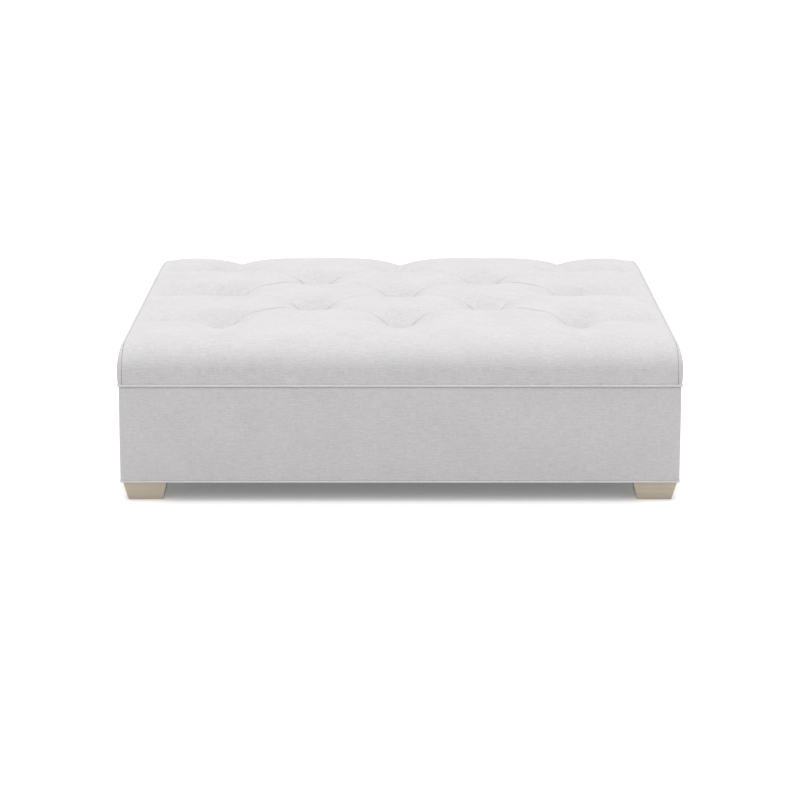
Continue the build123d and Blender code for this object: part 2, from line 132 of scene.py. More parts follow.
# Valleys and pleats from the outer tufts to the sides, from the front row to the back row
SIDE_VALLEY_DEPTHS = {-1: 0.018, 0: 0.029, 1: 0.029}
SIDE_VALLEY_HALF = 0.115
SIDE_VALLEY_POWER = 2.0
SIDE_VALLEY_START = 0.030
SIDE_VALLEY_END = 0.060
SIDE_CREASE = 0.6

# Rows and columns of the cover's mesh, and how even their spacing is between tufts
WALL_ROWS = 8
FRONT_ROWS = 24
MARGIN_ROWS = 32
TUFT_ROWS = 36
BACK_ROWS = 44
COLUMN_COUNTS = (40, 60, 60, 60, 40)
ROW_EVENNESS = 0.5
COLUMN_EVENNESS = 0.3

# Cloth simulation of the cushion's cover. It starts a little inside the cover's shape, and its move
# fades out near what holds the cover, has a cap and is smoothed.
SIM_SETTINGS = {
    "quality": 6, "tension_stiffness": 12, "compression_stiffness": 12, "shear_stiffness": 4,
    "bending_stiffness": 0.6, "shrink_min": -0.006, "use_pressure": True, "uniform_pressure_force": 4.0,
}
SIM_STRIDE = 2
SIM_FRAMES = 20
SIM_FADE = 0.030
SIM_FALL = 0.130
SIM_SMOOTHING = 2
SIM_PLEAT = 0.0015
SIM_START = 0.0035
SIM_CAP = 0.0042

# Boxed side borders
BORDER_STEPS = (0.0, 0.00004, 0.00012, 0.00025)
BORDER_SWELL = 0.0108
BORDER_END_SWELL = 0.0020
BORDER_END = 0.060
BORDER_END_ROUND = 0.014
BORDER_END_FROM = 0.050
BORDER_END_FADE = 0.030
BORDER_HEIGHT = 0.090
BORDER_BACK_GAP = 0.0002
BORDER_END_ROWS = 16
BORDER_ROWS = 120
BORDER_COLUMNS = 24
BORDER_UNEVENNESS = 0.05
BORDER_LOW_SHARES = (0.8, 0.2)
BORDER_TOP_POWER = 0.3

# Piping. Each cord has its rise over the tape's underside, half width, half height, how far it
# stands out from the box's face, and how much wider it is at the sides.
LID_CORD = (0.0019, 0.0027, 0.0033, 0.0029, 0.0022)
BASE_CORD = (-0.0014, 0.0025, 0.0028, 0.0032, 0.0)
CORD_CORNER = 0.0081
CORD_STEP = 0.006
CORD_SIDES = 14
CORD_UNEVENNESS = 0.014
TAPE_INSET = 0.002
TAPE_WIDTH = 0.0195
TAPE_LOW_GAP = 0.0002
TAPE_HIGH_GAP = 0.0001

# The box's cover, padding and lining
CLOTH_THICKNESS = 0.0016
CORNER = 0.008
CORNER_STEPS = 6
RING_STEP = 0.012
RIM_WIDTH = HALF - LINING_HALF + CLOTH_THICKNESS
RIM_RADIUS = 0.0015
RIM_ARC_START = 15
ARC_POINTS = 6
RIM_ROWS = 4
RIM_BEAD = 0.0006
RIM_BEAD_WIDTH = 0.008
RIM_BEAD_END = 0.040
TURN_UNDER = 0.034
TURN_ROWS = 5
LOW_BEND_INSET, LOW_BEND_RISE = 0.0004, 0.0002
FACE_LOW_STEPS = (0.0008, 0.0014, 0.0024, 0.0045)
FACE_START = 0.009
FACE_ROWS = 25
FACE_SWELL = 0.0013
FACE_TOP_LOSS = 0.0005
FACE_BULGE = 0.0006
FACE_UNEVENNESS = 0.0004
SKIN = 0.0008
PADDING_GAP = 0.0003
PADDING_CLEARANCE = 0.0006
PADDING_ROWS = 12
LINING_BEND = 0.006
LINING_BEND_START = 0.3
LINING_BEND_POINTS = 5
LINING_WALL_ROWS = 14
LINING_FLOOR_ROWS = 44
LINING_FLOOR_FADE = 0.050
LINING_UNEVENNESS = 0.0006

# Flat cloths and the foam
SHEET_THICKNESS = 0.0006
SHEET_RISE = 0.0001
SHEET_POINTS = 110
DUST_MARGIN = 0.0005
FOAM_GAP = 0.0005
FOAM_UNDER_GAP = 0.0003
FOAM_POINTS = 120
DIMPLE_DEPTH = 0.006
DIMPLE_RADIUS = 0.030

# Buttons and twines
BUTTON_TURNS = 36
BUTTON_RINGS = 12
BUTTON_SKIRT = 0.002
BUTTON_POLE = 0.00001
BUTTON_UNDERSIDE_SHARES = ((0.97, 0.0008), (0.8, 0.0001))
BUTTON_GATHERS = 12
BUTTON_GATHER = 0.03
TWINE_STRAND = 0.00072
TWINE_LAY = 0.007
TWINE_SIDES = 8
TWINE_ROWS = 90

# Waves of unevenness: the shortest, the longest, how many, and the seed of their draw
COVER_WAVES = (0.12, 0.35, 9, 5)
BORDER_WAVES = {1: (0.1, 0.3, 7, 11), -1: (0.1, 0.3, 7, 12)}
CORD_WAVES = (0.012, 0.05, 5, 21)
FACE_WAVES = (0.08, 0.3, 9, 31)
LINING_WAVES = (0.08, 0.4, 11, 51)

# Looks of the cloths. Each of the linen's noises has its stretch along and across the cloth,
# its detail, its roughness and its weight: long slubs, short slubs, upright threads, bands, clouds.
LINEN = (0.622, 0.610, 0.616)
# The piping's linen is the cover's linen painted lighter: a painted highlight for the light on the cords'
# upper halves.
WELT_LINEN_PAINTED_HIGHLIGHT = (0.690, 0.677, 0.683)
LINING = (0.62, 0.61, 0.60)
BLACK_CLOTH = (0.035, 0.035, 0.038)
TWINE = (0.78, 0.76, 0.70)
FOAM = (0.86, 0.82, 0.68)
WADDING = (0.90, 0.90, 0.88)
LINEN_NOISES = (
    (32, 430, 2, 0.50, 0.40),
    (95, 560, 2, 0.55, 0.50),
    (330, 38, 2, 0.55, 0.20),
    (1.6, 300, 2, 0.50, 0.12),
    (9, 9, 3, 0.50, 0.16),
)
LINEN_TONES = (0.53, 0.85)
LINEN_WEAVE, PLAIN_WEAVE = 0.10, 0.15
LINEN_SLUB_RELIEF, LINEN_WEAVE_RELIEF = 1.6, 0.5
THREAD_PITCH = 0.0011
LINING_PITCH = 0.0008
BLACK_PITCH = 0.0012
TWINE_PITCH = 0.0006

# Noises of the other materials: scale, detail and roughness, and the distortion of a wood's figure.
# Each metal has its own scale.
PLAIN_CLOUD = (60, 4, 0.6)
FOAM_CELLS = (700, 4, 0.7)
WADDING_CELLS = (160, 4, 0.7)
WOOD_FIGURE = (1, 4, 0.6, 0.6)
WOOD_PORES = (1, 3, 0.65)
WOOD_CLOUD = (14, 2, 0.5)
METAL_MARKS = (3, 0.6)

# Weights of the wood's figure, pores and clouds, and its stretch along the grain
WOOD_WEIGHTS = (0.6, 0.3, 0.15)
FIGURE_STRETCH, PORE_STRETCH = 3.0, 22
WOOD_TONES = (0.36, 0.70)
METAL_WORN = (0.2, 0.8)
METAL_SPREAD = 0.12

# Darkest and lightest shade of a colour
LINEN_SHADES = (0.88, 1.12)
PLAIN_SHADES = (0.92, 1.08)
BLACK_SHADES = (0.65, 1.35)
FOAM_SHADES = (0.86, 1.06)
METAL_SHADES = (0.88, 1.06)

# Relief: strength and depth
LINEN_RELIEF = (0.35, 0.00035)
CLOTH_RELIEF = (0.3, 0.0002)
CELL_RELIEF = (0.6, 0.001)
PORE_RELIEF = (0.25, 0.0004)
SCRATCH_RELIEF = (0.12, 0.0001)

# Places of the colour sockets in a mix node
MIX_FIRST, MIX_SECOND, MIX_RESULT = 6, 7, 2

# Camera, light and floor
CAMERA_PLACE = (0.0, -6.895, 1.683)
CAMERA_TILT = 12.95
LENS = 117.45
SENSOR = 36.0
SIGHT = 200.0
SKY = 0.945
SUN = 1.155
SUN_TILT = -9
SUN_SPREAD = 40
FLOOR_REACH = 60.0
FLOOR_GREY = 0.633
FLOOR_LIFT = 0.18

# Below this a length counts as none
NEARLY_NONE = 0.000001


# Mesh building

def make_mesh(name, points, faces, material, cloth=None):
    """A smooth-shaded mesh object, with each point's place in the flat cloth."""
    mesh = bpy.data.meshes.new(name)
    mesh.from_pydata(np.asarray(points, float).tolist(), [], np.asarray(faces).tolist())
    mesh.polygons.foreach_set("use_smooth", [True] * len(mesh.polygons))
    if cloth is not None:
        layer = mesh.attributes.new("cloth", "FLOAT_VECTOR", "POINT")
        flat = np.zeros((len(points), 3), np.float32)
        flat[:, :2] = np.asarray(cloth).reshape(-1, 2)
        layer.data.foreach_set("vector", flat.ravel())
    mesh.materials.append(material)
    mesh.update()
    piece = bpy.data.objects.new(name, mesh)
    bpy.context.scene.collection.objects.link(piece)
    return piece


def stacked(*parts):
    """Points from their coordinates, which may be single values, rows or columns."""
    return np.stack(np.broadcast_arrays(*parts), axis=-1)


def stand_in(piece, node, body):
    """Hide the node that a finished piece replaces, and put the piece on the body that carries it."""
    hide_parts(node)
    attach(piece, body)


def grid_faces(rows, columns, wrap_rows=False, wrap_columns=False, start=0, flip=False):
    """Quads of a grid of points that are numbered row by row."""
    row = np.arange(rows if wrap_rows else rows - 1)
    column = np.arange(columns if wrap_columns else columns - 1)
    a, b = np.meshgrid(row, column, indexing="ij")
    a_next, b_next = (a + 1) % rows, (b + 1) % columns
    corners = [a * columns + b, a * columns + b_next, a_next * columns + b_next, a_next * columns + b]
    if flip:
        corners.reverse()
    return stacked(*corners).reshape(-1, 4) + start


def border_of(rows, columns):
    """Point numbers round a grid's border, in the order of its faces."""
    numbers = np.arange(rows * columns).reshape(rows, columns)
    return np.concatenate([numbers[0], numbers[1:, -1], numbers[-1, -2::-1], numbers[-2:0:-1, 0]])


def closed_piece(name, outer, inner, cloth, material):
    """A closed solid between two grids of the same size: its skin and its back."""
    rows, columns = outer.shape[:2]
    count = rows * columns
    points = np.concatenate([outer.reshape(-1, 3), inner.reshape(-1, 3)])
    edge = border_of(rows, columns)
    after = np.roll(edge, -1)
    rim = stacked(after, edge, edge + count, after + count)
    skin = grid_faces(rows, columns)
    back = grid_faces(rows, columns, start=count, flip=True)
    places = np.tile(cloth.reshape(-1, 2), (2, 1))
    return make_mesh(name, points, np.concatenate([skin, back, rim]), material, places)


def ring_piece(name, grid, material, cloth=None, closed=False):
    """A piece from a grid that goes round the box, closed along its profile or open."""
    faces = grid_faces(*grid.shape[:2], closed, True)
    return make_mesh(name, grid.reshape(-1, 3), faces, material, cloth)


def run_lengths(points):
    """Distance along each column of a grid of points, row by row."""
    steps = np.linalg.norm(np.diff(points, axis=0), axis=-1)
    return np.concatenate([np.zeros((1,) + steps.shape[1:]), np.cumsum(steps, axis=0)])


def thicken(piece, thickness):
    """Give a cloth its thickness, towards its back."""
    modifier = piece.modifiers.new("thickness", "SOLIDIFY")
    modifier.thickness = thickness
    modifier.offset = -1.0
    return piece


def ripples(x, y, shortest, longest, count, seed):
    """Smooth unevenness from -1 to 1: a sum of plane waves."""
    draw = np.random.RandomState(seed)
    total = 0
    for _ in range(count):
        wave = math.tau / draw.uniform(shortest, longest)
        turn = draw.uniform(0, math.tau)
        phase = draw.uniform(0, math.tau)
        total = total + np.sin(wave * (x * math.cos(turn) + y * math.sin(turn)) + phase)
    return total / count


def ring_outline(half, corner, step=RING_STEP):
    """A rounded square's points, counter-clockwise from the front's left end, with outward directions."""
    straight = half - corner
    side = np.linspace(-straight, straight, int(round(2 * straight / step)) + 1)
    spots, outward = [], []
    for k in range(4):
        turn = k * math.pi / 2
        along = np.array([math.cos(turn), math.sin(turn)])
        out = np.array([math.sin(turn), -math.cos(turn)])
        for s in side:
            spots.append(along * s + out * half)
            outward.append(out)
        centre = along * straight + out * straight
        for j in range(1, CORNER_STEPS):
            angle = j / CORNER_STEPS * math.pi / 2
            direction = out * math.cos(angle) + along * math.sin(angle)
            spots.append(centre + direction * corner)
            outward.append(direction)
    return np.array(spots), np.array(outward)


def rings(profile, half, corner):
    """A grid from a profile of (inset, height) carried round the rounded square."""
    spots, outward = ring_outline(half, corner)
    centre = spots - outward * corner
    rows = []
    for inset, height in profile:
        if inset > corner:
            limit = half - inset
            flat = np.clip(spots, -limit, limit)
        else:
            flat = centre + outward * (corner - inset)
        rows.append(stacked(flat[:, 0], flat[:, 1], height))
    return np.array(rows)


def ring_cloth(profile, grid):
    """Flat places for a grid that rings() made: round the box, and along the profile."""
    up = run_lengths(np.array(profile))
    widest = grid[np.argmax(np.abs(grid[:, 0, 1]))]
    around = run_lengths(widest[:, :2])
    return stacked(around[None, :], up[:, None])


def arc(radius, start, end):
    """Points of an arc, angles in degrees."""
    angles = np.radians(np.linspace(start, end, ARC_POINTS))
    return [(radius * math.cos(a), radius * math.sin(a)) for a in angles]


def joined(parts):
    """The points, faces and flat places of several meshes as those of one."""
    starts = np.cumsum([0] + [len(points) for points, _, _ in parts[:-1]])
    points = np.concatenate([points for points, _, _ in parts])
    faces = np.concatenate([faces + start for (_, faces, _), start in zip(parts, starts)])
    cloth = np.concatenate([cloth for _, _, cloth in parts])
    return points, faces, cloth


# Materials

def new_node(tree, kind, **settings):
    """A new node with its settings."""
    made = tree.nodes.new(kind)
    for key, value in settings.items():
        setattr(made, key, value)
    return made


class Paint:
    """One material: its nodes are added and linked by short calls."""

    def __init__(self, name, colour, roughness, **sockets):
        self.material = bpy.data.materials.new(name)
        self.material.use_nodes = True
        self.tree = self.material.node_tree
        self.shader = self.tree.nodes["Principled BSDF"]
        self.shader.inputs["Base Color"].default_value = (*colour, 1)
        self.shader.inputs["Roughness"].default_value = roughness
        for socket, value in sockets.items():
            self.shader.inputs[socket.replace("_", " ")].default_value = value
        self.material.diffuse_color = (*colour, 1)

    def put(self, socket, value):
        """Link another node's output to a socket, or set the socket's own value."""
        if isinstance(value, bpy.types.NodeSocket):
            self.tree.links.new(value, socket)
        else:
            socket.default_value = value

    def cloth_place(self, scale=(1, 1, 1), turn=0.0):
        """Place in the flat cloth, stretched by a scale and turned."""
        source = new_node(self.tree, "ShaderNodeAttribute", attribute_name="cloth")
        return self.mapped(source.outputs["Vector"], scale, turn)

    def solid_place(self):
        """Place in the object."""
        return new_node(self.tree, "ShaderNodeTexCoord").outputs["Object"]

    def mapped(self, source, scale, turn=0.0):
        """A place stretched by a scale and turned."""
        mapping = new_node(self.tree, "ShaderNodeMapping")
        mapping.inputs["Scale"].default_value = scale
        mapping.inputs["Rotation"].default_value = (0, 0, turn)
        self.tree.links.new(source, mapping.inputs["Vector"])
        return mapping.outputs["Vector"]

    def noise(self, place, scale, detail, roughness, distortion=0.0):
        """Cloudy noise from 0 to 1."""
        made = new_node(self.tree, "ShaderNodeTexNoise")
        self.put(made.inputs["Vector"], place)
        made.inputs["Scale"].default_value = scale
        made.inputs["Detail"].default_value = detail
        made.inputs["Roughness"].default_value = roughness
        made.inputs["Distortion"].default_value = distortion
        return made.outputs["Fac"]

    def calc(self, operation, *values, clamp=False):
        """The result of a calculation with values or other nodes' outputs."""
        made = new_node(self.tree, "ShaderNodeMath", operation=operation, use_clamp=clamp)
        for socket, value in zip(made.inputs, values):
            self.put(socket, value)
        return made.outputs[0]

    def weighted(self, pairs):
        """The sum of values times their weights."""
        total = 0.0
        for value, weight in pairs:
            total = self.calc("MULTIPLY_ADD", value, weight, total)
        return total

    def weave(self, pitch, turn=0.0):
        """A plain weave's threads, from -1 to 1."""
        split = new_node(self.tree, "ShaderNodeSeparateXYZ")
        self.put(split.inputs[0], self.cloth_place(turn=turn))
        warp, weft = (self.calc("SINE", self.calc("MULTIPLY", split.outputs[axis], math.pi / pitch))
                      for axis in ("X", "Y"))
        return self.calc("MULTIPLY", warp, weft)

    def ramp(self, value, low, high):
        """Stretch a value so that low gives 0 and high gives 1."""
        made = new_node(self.tree, "ShaderNodeMapRange")
        self.put(made.inputs["Value"], value)
        made.inputs["From Min"].default_value = low
        made.inputs["From Max"].default_value = high
        return made.outputs["Result"]

    def two_tone(self, share, first, second):
        """Colour the surface with a mix of two colours."""
        made = new_node(self.tree, "ShaderNodeMix", data_type="RGBA")
        self.put(made.inputs[0], share)
        made.inputs[MIX_FIRST].default_value = (*first, 1)
        made.inputs[MIX_SECOND].default_value = (*second, 1)
        self.put(self.shader.inputs["Base Color"], made.outputs[MIX_RESULT])

    def bump(self, height, strength, distance):
        """Fine relief that only shading shows."""
        made = new_node(self.tree, "ShaderNodeBump")
        made.inputs["Strength"].default_value = strength
        made.inputs["Distance"].default_value = distance
        self.put(made.inputs["Height"], height)
        self.put(self.shader.inputs["Normal"], made.outputs["Normal"])


def shades(colour, factors):
    """A colour made darker and lighter."""
    return [tuple(min(c * factor, 1.0) for c in colour) for factor in factors]


def linen(name, colour, turn=0.0):
    """Slubby plain-weave linen: its threads, slubs and bands along the weft, and upright threads."""
    paint = Paint(name, colour, 0.95, Sheen_Weight=0.03, Sheen_Roughness=0.5, Specular_IOR_Level=0.12)
    weave = paint.weave(THREAD_PITCH, turn)
    noises = [paint.noise(paint.cloth_place((along, across, 1), turn), 1, detail, roughness)
              for along, across, detail, roughness, _ in LINEN_NOISES]
    total = paint.weighted(zip(noises, [row[-1] for row in LINEN_NOISES]))
    tone = paint.calc("MULTIPLY_ADD", weave, LINEN_WEAVE, paint.ramp(total, *LINEN_TONES), clamp=True)
    paint.two_tone(tone, *shades(colour, LINEN_SHADES))
    raised = paint.calc("MULTIPLY", weave, LINEN_WEAVE_RELIEF)
    raised = paint.calc("MULTIPLY_ADD", noises[0], LINEN_SLUB_RELIEF, raised)
    paint.bump(raised, *LINEN_RELIEF)
    return paint.material


def plain_cloth(name, colour, pitch, factors=PLAIN_SHADES):
    """A plain woven cotton or a non-woven cloth."""
    paint = Paint(name, colour, 0.9, Sheen_Weight=0.08)
    weave = paint.weave(pitch)
    cloud = paint.noise(paint.cloth_place(), *PLAIN_CLOUD)
    tone = paint.calc("MULTIPLY_ADD", weave, PLAIN_WEAVE, cloud, clamp=True)
    paint.two_tone(tone, *shades(colour, factors))
    paint.bump(paint.calc("ADD", weave, cloud), *CLOTH_RELIEF)
    return paint.material


def foam_paint(name, colour, cells):
    """Open cells of foam, or the fluff of wadding."""
    paint = Paint(name, colour, 0.95)
    cell = paint.noise(paint.solid_place(), *cells)
    paint.two_tone(cell, *shades(colour, FOAM_SHADES))
    paint.bump(cell, *CELL_RELIEF)
    return paint.material


def wood(name, colour, dark, grain, pores, roughness, gloss=0.3):
    """Long grain along X, with pores and slow changes of tone."""
    paint = Paint(name, colour, roughness, Specular_IOR_Level=gloss)
    place = paint.solid_place()
    figure = paint.noise(paint.mapped(place, (FIGURE_STRETCH, grain, grain)), *WOOD_FIGURE)
    fine = paint.noise(paint.mapped(place, (PORE_STRETCH, pores, pores)), *WOOD_PORES)
    cloud = paint.noise(place, *WOOD_CLOUD)
    tone = paint.weighted(zip((figure, fine, cloud), WOOD_WEIGHTS))
    paint.two_tone(paint.ramp(tone, *WOOD_TONES), dark, colour)
    paint.bump(fine, *PORE_RELIEF)
    return paint.material


def metal(name, colour, roughness, scratch, metallic=1.0, along=(1, 1, 1), **sockets):
    """Plated, brushed or painted steel."""
    paint = Paint(name, colour, roughness, Metallic=metallic, **sockets)
    marks = paint.noise(paint.mapped(paint.solid_place(), along), scratch, *METAL_MARKS)
    paint.two_tone(marks, *shades(colour, METAL_SHADES))
    worn = paint.ramp(marks, *METAL_WORN)
    uneven = paint.calc("MULTIPLY_ADD", worn, METAL_SPREAD, roughness - METAL_SPREAD / 2)
    paint.put(paint.shader.inputs["Roughness"], uneven)
    paint.bump(marks, *SCRATCH_RELIEF)
    return paint.material


linen_paint = linen("linen", LINEN)
# A lighter copy of the linen for the piping: painted highlight.
welt_paint_painted_highlight = linen("linen_welt", WELT_LINEN_PAINTED_HIGHLIGHT, math.radians(45))
lining_paint = plain_cloth("lining_cloth", LINING, LINING_PITCH)
black_paint = plain_cloth("black_cloth", BLACK_CLOTH, BLACK_PITCH, BLACK_SHADES)
twine_paint = plain_cloth("twine", TWINE, TWINE_PITCH)
foam_material = foam_paint("foam", FOAM, FOAM_CELLS)
wadding_material = foam_paint("wadding", WADDING, WADDING_CELLS)


# The tufted cushion

def quarter(share):
    """Height of a quarter ellipse at a share of its reach."""
    share = np.clip(share, 0, 1)
    return np.sqrt(1 - (1 - share) ** 2)


def tuft_places():
    """The thirteen tufts: rows of three and of two in turn."""
    for row in range(-2, 3):
        for column in ((-1, 0, 1) if row % 2 == 0 else (-0.5, 0.5)):
            yield column * COLUMN_PITCH, row * ROW_PITCH


def zigzag(y):
    """Places of the inner and outer pleat lines at a depth."""
    place = np.clip((y + ROWS_HALF) / ROW_PITCH, 0, 4)
    swing = 1 - np.abs(np.mod(place, 2) - 1)
    slide = swing * (COLUMN_PITCH / 2 - SEAT_WIDTH)
    return SEAT_WIDTH / 2 + slide, COLUMN_PITCH - SEAT_WIDTH / 2 - slide


def edge_height(y, top, back_wall, front_reach, back_reach):
    """Height of a line over the lid that falls off at the front and the back."""
    front = quarter((HALF + y) / front_reach)
    back = quarter((HALF - y) / back_reach)
    wall = np.where(y < 0, WALL_TOP, back_wall)
    return wall + (top - wall) * np.where(y < 0, front, back)


def crown_height(y):
    """The cushion's middle before it is tufted."""
    return edge_height(y, CREST, BACK_WALL_TOP, FRONT_REACH, BACK_REACH)


def side_top(y):
    """Height of the side seam."""
    return edge_height(y, SIDE_SEAM_TOP + SIDE_RISE, SIDE_BACK_WALL_TOP, SIDE_FRONT_REACH, SIDE_BACK_REACH)


def seam_pull(y):
    """How far the puffed border draws the side seam inward."""
    return SEAM_PULL * np.clip((HALF - np.abs(y)) / SEAM_PULL_REACH, 0, 1)


def nearest_tuft(x, y):
    """Distance and direction from the nearest tuft, and its number."""
    distance = np.full(x.shape, np.inf)
    angle = np.zeros(x.shape)
    number = np.zeros(x.shape)
    for k, (tuft_x, tuft_y) in enumerate(tuft_places()):
        this = np.hypot(x - tuft_x, y - tuft_y)
        closer = this < distance
        distance = np.where(closer, this, distance)
        angle = np.where(closer, np.arctan2(y - tuft_y, x - tuft_x), angle)
        number = np.where(closer, k, number)
    return distance, angle, number


def valley(away, ahead, depth, length, half_width, power):
    """A soft valley that runs out from a tuft."""
    along = np.clip(1 - ahead / length, 0, 1)
    across = np.clip(1 - away / half_width, 0, 1) ** power
    return np.where(ahead > 0, depth * along * across, 0)


def groove(away):
    """A pleat's narrow groove."""
    return CREASE_DEPTH * np.clip(1 - away / CREASE_HALF_WIDTH, 0, 1) ** 2


def puff(x, y, outer):
    """Swell of each diamond between its pleats, from 0 on them to 1 in its middle."""
    s = (x / (COLUMN_PITCH / 2) + (y + ROWS_HALF) / ROW_PITCH) / 2
    t = (x / (COLUMN_PITCH / 2) - (y + ROWS_HALF) / ROW_PITCH) / 2
    s_off, t_off = 2 * np.abs(s - np.round(s)), 2 * np.abs(t - np.round(t))
    inside = (np.abs(y) <= ROWS_HALF) & (np.abs(x) < outer)
    return np.where(inside, s_off * t_off * (2 - s_off) * (2 - t_off), 1)


def cushion_height(x, y):
    """Height of the cover over a place, and how deep a pleat is there."""
    across = np.abs(x)
    from_seam = SEAM - seam_pull(y) - across
    distance, angle, number = nearest_tuft(x, y)
    pit = PIT_DEPTH * np.clip(1 - (distance - SEAT_RADIUS) / PIT_REACH, 0, 1) ** PIT_POWER

    inner, outer = zigzag(y)
    slope = ROW_PITCH / (COLUMN_PITCH / 2 - SEAT_WIDTH)
    to_pleat = np.minimum(np.abs(across - inner), np.abs(across - outer)) * slope / math.hypot(1, slope)
    crease = np.where(np.abs(y) <= ROWS_HALF, groove(to_pleat), 0)

    valleys = np.zeros(x.shape)
    for column, back_depth in BACK_VALLEY_DEPTHS.items():
        away = np.abs(x - column * COLUMN_PITCH)
        beyond = np.maximum(away - FRONT_VALLEY_FLAT, 0)
        valleys = np.maximum(valleys, valley(beyond, -ROWS_HALF - y, *FRONT_VALLEY))
        valleys = np.maximum(valleys, valley(away, y - ROWS_HALF, back_depth, *BACK_VALLEY))
        crease = np.maximum(crease, valley(away, y - ROWS_HALF, *BACK_CREASE))
    beside = np.clip((across - COLUMN_PITCH) / SIDE_VALLEY_START, 0, 1)
    beside = beside * np.clip(from_seam / SIDE_VALLEY_END, 0, 1)
    for row, depth in SIDE_VALLEY_DEPTHS.items():
        away = np.abs(y - row * ROWS_HALF)
        dip = depth * np.clip(1 - away / SIDE_VALLEY_HALF, 0, 1) ** SIDE_VALLEY_POWER
        valleys = np.maximum(valleys, beside * dip)
        crease = np.maximum(crease, SIDE_CREASE * beside * groove(away))

    crease = crease * np.clip((distance - SEAT_RADIUS) / SEAT_WIDTH, 0, 1)
    crease = crease * (CREASE_MIDDLE + (1 - CREASE_MIDDLE) * np.exp(-(distance / CREASE_FADE) ** 2))
    gathers = np.cos(GATHER_COUNT * angle + GATHER_TURN * number)
    gathers = gathers * np.exp(-np.abs(distance - GATHER_PEAK) / GATHER_REACH)
    uneven = UNEVENNESS * ripples(x, y, *COVER_WAVES)
    dome = PUFF_DOME * puff(x, y, outer) * np.clip(1 - pit / PUFF_FADE, 0, 1)
    dip = np.maximum(pit, valleys) + crease - dome
    height = crown_height(y) - dip + GATHER_HEIGHT * gathers + uneven * np.clip(1 - pit / UNEVEN_FADE, 0, 1)

    roll = 1 - quarter(np.clip(from_seam / SIDE_ROLL, 0, 1))
    return height * (1 - roll) + side_top(y) * roll, crease


def crowded(count):
    """Shares from 0 to 1, closer together near both ends."""
    return (1 - np.cos(np.linspace(0, math.pi, count + 1))) / 2


def crowded_start(count):
    """Shares from 0 to 1, closer together near the start."""
    return 1 - np.cos(np.linspace(0, math.pi / 2, count + 1))


def mildly_crowded(count, evenness):
    """Shares from 0 to 1, between even ones and ones crowded near both ends."""
    return evenness * np.linspace(0, 1, count + 1) + (1 - evenness) * crowded(count)


def cushion_rows():
    """Depths of the cover's rows, from the front face to the back face."""
    front = -HALF + FRONT_REACH * crowded_start(FRONT_ROWS)
    margin = np.linspace(-HALF + FRONT_REACH, -ROWS_HALF, MARGIN_ROWS + 1)[1:]
    between = ROW_PITCH * mildly_crowded(TUFT_ROWS, ROW_EVENNESS)[1:]
    rows = [-ROWS_HALF + k * ROW_PITCH + between for k in range(4)]
    back = HALF - BACK_REACH * crowded_start(BACK_ROWS)[::-1]
    return np.concatenate([front, margin, *rows, back])


def cushion_columns(y):
    """Places across the cover at one depth, the pleat lines among them."""
    inner, outer = (float(v) for v in zigzag(np.array(y)))
    near_seam = SEAM - float(seam_pull(np.array(y))) - np.array(SEAM_STEPS)
    marks = [-near_seam[-1], -outer, -inner, inner, outer, near_seam[-1]]
    places = [-near_seam]
    for left, right, count in zip(marks, marks[1:], COLUMN_COUNTS):
        places.append(left + (right - left) * mildly_crowded(count, COLUMN_EVENNESS)[1:])
    return np.concatenate(places + [near_seam[-2::-1]])


def every_other(count):
    """Numbers of every other row or column, the last one among them."""
    return np.unique(np.append(np.arange(0, count, SIM_STRIDE), count - 1))


def spread_out(values, rows, columns, shape):
    """Values at some rows and columns of a grid, filled in between for the whole grid."""
    across = np.array([np.interp(np.arange(shape[1]), columns, line) for line in values])
    return np.array([np.interp(np.arange(shape[0]), rows, line) for line in across.T]).T


def settled(start, held):
    """The cover after a short cloth simulation, in which its filling pushes it out between what holds it."""
    rows, columns = every_other(start.shape[0]), every_other(start.shape[1])
    sparse = start[np.ix_(rows, columns)]
    proxy = make_mesh("proxy", sparse.reshape(-1, 3), grid_faces(len(rows), len(columns)), linen_paint)
    group = proxy.vertex_groups.new(name="held")
    for number, weight in enumerate(held[np.ix_(rows, columns)].ravel().tolist()):
        group.add([number], weight, "REPLACE")
    cloth = proxy.modifiers.new("cloth", "CLOTH")
    cloth.collision_settings.use_collision = False
    cloth.collision_settings.use_self_collision = False
    cloth.settings.vertex_group_mass = group.name
    cloth.settings.effector_weights.gravity = 0
    for key, value in SIM_SETTINGS.items():
        setattr(cloth.settings, key, value)
    for number in range(1, SIM_FRAMES + 1):
        bpy.context.scene.frame_set(number)
    seen = proxy.evaluated_get(bpy.context.evaluated_depsgraph_get()).data
    ended = np.zeros(len(seen.vertices) * 3)
    seen.vertices.foreach_get("co", ended)
    bpy.context.scene.frame_set(1)
    leftover = proxy.data
    bpy.data.objects.remove(proxy)
    bpy.data.meshes.remove(leftover)
    move = ended.reshape(sparse.shape) - sparse
    length = np.linalg.norm(move, axis=-1, keepdims=True)
    move *= np.minimum(1, SIM_CAP / np.maximum(length, NEARLY_NONE))
    for _ in range(SIM_SMOOTHING):
        move[1:-1] = (move[:-2] + 2 * move[1:-1] + move[2:]) / 4
        move[:, 1:-1] = (move[:, :-2] + 2 * move[:, 1:-1] + move[:, 2:]) / 4
    filled = [spread_out(move[..., axis], rows, columns, start.shape[:2]) for axis in range(3)]
    return start + np.stack(filled, axis=-1) * (1 - held)[..., None]


def with_walls(top):
    """The cover's rows with those of its upright ends, down to the lid's edge."""
    front_low, back_low = top[:1].copy(), top[-1:].copy()
    front_low[..., 2] = back_low[..., 2] = PANEL_LOW - SEAM_TUCK
    share = np.linspace(0, 1, WALL_ROWS + 1)[:, None, None]
    front = front_low * (1 - share[:-1]) + top[:1] * share[:-1]
    back = top[-1:] + (back_low - top[-1:]) * share[1:]
    return np.concatenate([front, top, back])


